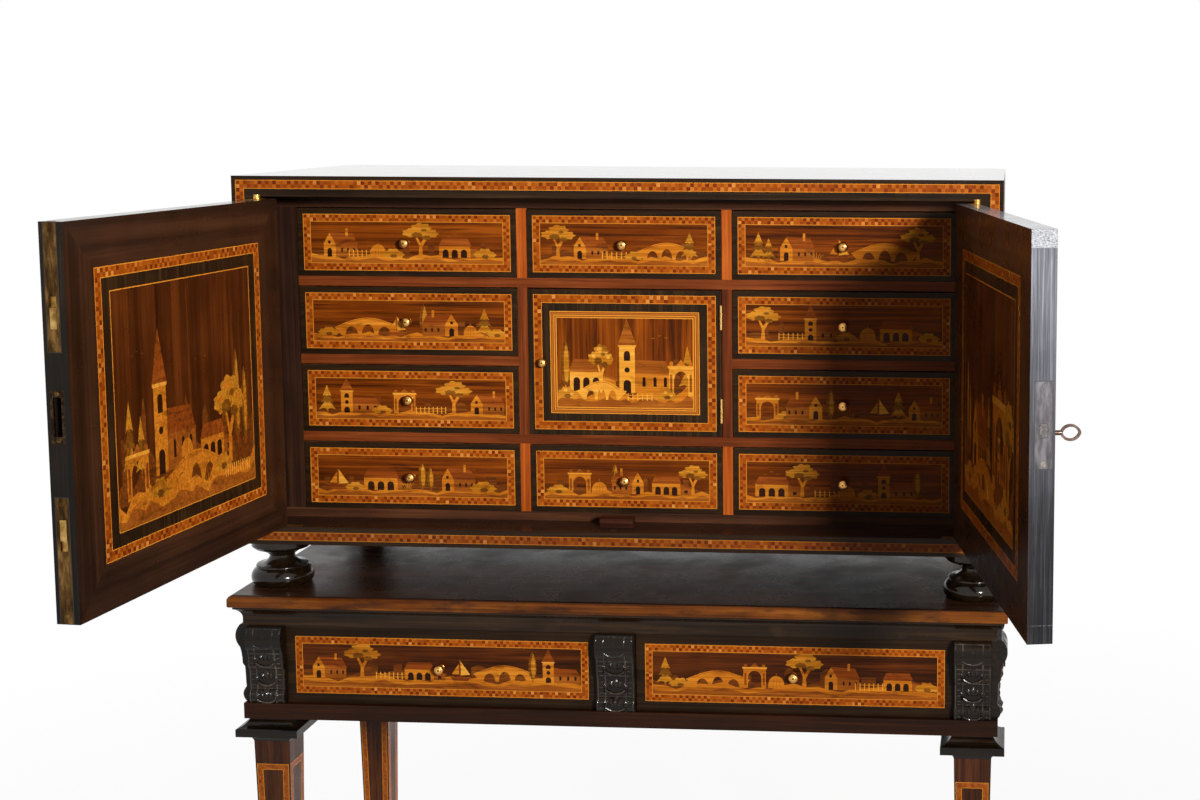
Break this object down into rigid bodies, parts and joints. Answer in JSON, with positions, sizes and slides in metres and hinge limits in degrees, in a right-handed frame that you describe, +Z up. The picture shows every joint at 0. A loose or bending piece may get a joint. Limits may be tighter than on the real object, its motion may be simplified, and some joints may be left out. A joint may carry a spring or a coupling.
{
  "type": "coin cabinet",
  "caption": "Marquetry coin cabinet on a stand, with two front doors, a nest of small drawers round a small inner door, frieze drawers and tapered legs.",
  "frame": {"origin": "on the floor at the middle of the four legs", "axes": "+Z up, front faces -Y, +X to the viewer's right"},
  "size_m": [1.1505, 0.9399, 1.4352],
  "materials": {
    "case_veneer": "polished dark rosewood veneer with ebonised edges and chequer banding",
    "ebonised": "glossy black",
    "nest_wood": "polished red-brown",
    "drawer_veneer": "polished marquetry with black borders",
    "door_veneer": "polished dark purplish rosewood veneer with banding",
    "brass": "satin, slightly worn",
    "knob_metal": "pale, satin",
    "polished_top": "high polish, dark red-brown with an orange-brown edge",
    "frieze_wood": "dark polished",
    "rail_wood": "dark red-brown, polished",
    "leg_veneer": "dark veneer with inlaid banded panels"
  },
  "bodies": {
    "cabinet": {"case_top": "case_veneer", "case_bottom": "case_veneer", "case_sides": "case_veneer", "case_back": "case_veneer", "bun_feet": "ebonised", "nest_boards": "nest_wood", "nest_linings": "nest_wood", "nest_shelves": "nest_wood", "nest_partitions": "nest_wood", "door_stop": "ebonised", "pivot_plates": "brass", "small_hinge_fixed": "brass", "stand_top": "polished_top", "cornice": "ebonised", "frieze_posts": "frieze_wood", "frieze_panels": "frieze_wood", "frieze_divider": "frieze_wood", "corbels_front": "ebonised", "corbels_side": "ebonised", "stand_rail": "rail_wood", "capitals": "ebonised", "legs": "leg_veneer"},
    "left_door": {"door_left": "door_veneer", "bolt_plates": "brass", "strike_plate": "brass", "hinge_leaves_left": "brass"},
    "right_door": {"door_right": "door_veneer", "lock": "brass", "hinge_leaves_right": "brass"},
    "top_bolt": {"flush_bolt_top": "brass"},
    "bottom_bolt": {"flush_bolt_bottom": "brass"},
    "lock_bolt": {"lock_bolt": "brass"},
    "key": {"key": "brass"},
    "small_door": {"small_door": "drawer_veneer", "small_door_knob": "knob_metal", "small_hinge_moving": "brass"},
    "drawer_left_1": {"drawer_left_1": "drawer_veneer", "knob_left_1": "knob_metal"},
    "drawer_left_2": {"drawer_left_2": "drawer_veneer", "knob_left_2": "knob_metal"},
    "drawer_left_3": {"drawer_left_3": "drawer_veneer", "knob_left_3": "knob_metal"},
    "drawer_left_4": {"drawer_left_4": "drawer_veneer", "knob_left_4": "knob_metal"},
    "drawer_right_1": {"drawer_right_1": "drawer_veneer", "knob_right_1": "knob_metal"},
    "drawer_right_2": {"drawer_right_2": "drawer_veneer", "knob_right_2": "knob_metal"},
    "drawer_right_3": {"drawer_right_3": "drawer_veneer", "knob_right_3": "knob_metal"},
    "drawer_right_4": {"drawer_right_4": "drawer_veneer", "knob_right_4": "knob_metal"},
    "drawer_centre_1": {"drawer_centre_1": "drawer_veneer", "knob_centre_1": "knob_metal"},
    "drawer_centre_4": {"drawer_centre_4": "drawer_veneer", "knob_centre_4": "knob_metal"},
    "stand_drawer_left": {"stand_drawer_left": "drawer_veneer", "stand_knob_left": "knob_metal"},
    "stand_drawer_right": {"stand_drawer_right": "drawer_veneer", "stand_knob_right": "knob_metal"}
  },
  "joints": [
    {"name": "left_door_hinge", "type": "hinge", "parent": "cabinet", "child": "left_door", "pos_m": [-0.4895, -0.20925, 0.9522], "axis": [0, 0, -1], "range_deg": [-94.5, 25.5]},
    {"name": "right_door_hinge", "type": "hinge", "parent": "cabinet", "child": "right_door", "pos_m": [0.4895, -0.20925, 0.9522], "axis": [0, 0, 1], "range_deg": [-101.2, 18.8]},
    {"name": "top_bolt_slide", "type": "slide", "parent": "left_door", "child": "top_bolt", "axis": [0, 0, 1], "range_m": [0, 0.012]},
    {"name": "bottom_bolt_slide", "type": "slide", "parent": "left_door", "child": "bottom_bolt", "axis": [0, 0, -1], "range_m": [0, 0.012]},
    {"name": "key_turn", "type": "hinge", "parent": "right_door", "child": "key", "pos_m": [0.57665, -0.64941, 1.1775], "axis": [0.981, 0.1942, 0], "range_deg": [0, 180]},
    {"name": "lock_bolt_slide", "type": "slide", "parent": "right_door", "child": "lock_bolt", "axis": [0.1942, -0.981, 0], "range_m": [0, 0.01]},
    {"name": "small_door_hinge", "type": "hinge", "parent": "cabinet", "child": "small_door", "pos_m": [0.1358, -0.14695, 1.0723], "axis": [0, 0, 1], "range_deg": [0, 90]},
    {"name": "drawer_left_1_slide", "type": "slide", "parent": "cabinet", "child": "drawer_left_1", "axis": [0, -1, 0], "range_m": [0, 0.3]},
    {"name": "drawer_left_2_slide", "type": "slide", "parent": "cabinet", "child": "drawer_left_2", "axis": [0, -1, 0], "range_m": [0, 0.3]},
    {"name": "drawer_left_3_slide", "type": "slide", "parent": "cabinet", "child": "drawer_left_3", "axis": [0, -1, 0], "range_m": [0, 0.3]},
    {"name": "drawer_left_4_slide", "type": "slide", "parent": "cabinet", "child": "drawer_left_4", "axis": [0, -1, 0], "range_m": [0, 0.3]},
    {"name": "drawer_right_1_slide", "type": "slide", "parent": "cabinet", "child": "drawer_right_1", "axis": [0, -1, 0], "range_m": [0, 0.3]},
    {"name": "drawer_right_2_slide", "type": "slide", "parent": "cabinet", "child": "drawer_right_2", "axis": [0, -1, 0], "range_m": [0, 0.3]},
    {"name": "drawer_right_3_slide", "type": "slide", "parent": "cabinet", "child": "drawer_right_3", "axis": [0, -1, 0], "range_m": [0, 0.3]},
    {"name": "drawer_right_4_slide", "type": "slide", "parent": "cabinet", "child": "drawer_right_4", "axis": [0, -1, 0], "range_m": [0, 0.3]},
    {"name": "drawer_centre_1_slide", "type": "slide", "parent": "cabinet", "child": "drawer_centre_1", "axis": [0, -1, 0], "range_m": [0, 0.3]},
    {"name": "drawer_centre_4_slide", "type": "slide", "parent": "cabinet", "child": "drawer_centre_4", "axis": [0, -1, 0], "range_m": [0, 0.3]},
    {"name": "stand_drawer_left_slide", "type": "slide", "parent": "cabinet", "child": "stand_drawer_left", "axis": [0, -1, 0], "range_m": [0, 0.3]},
    {"name": "stand_drawer_right_slide", "type": "slide", "parent": "cabinet", "child": "stand_drawer_right", "axis": [0, -1, 0], "range_m": [0, 0.3]}
  ],
  "couplings": [
    {"joint": "key_turn", "follows": "lock_bolt_slide", "rad_per_m": 314.16}
  ]
}
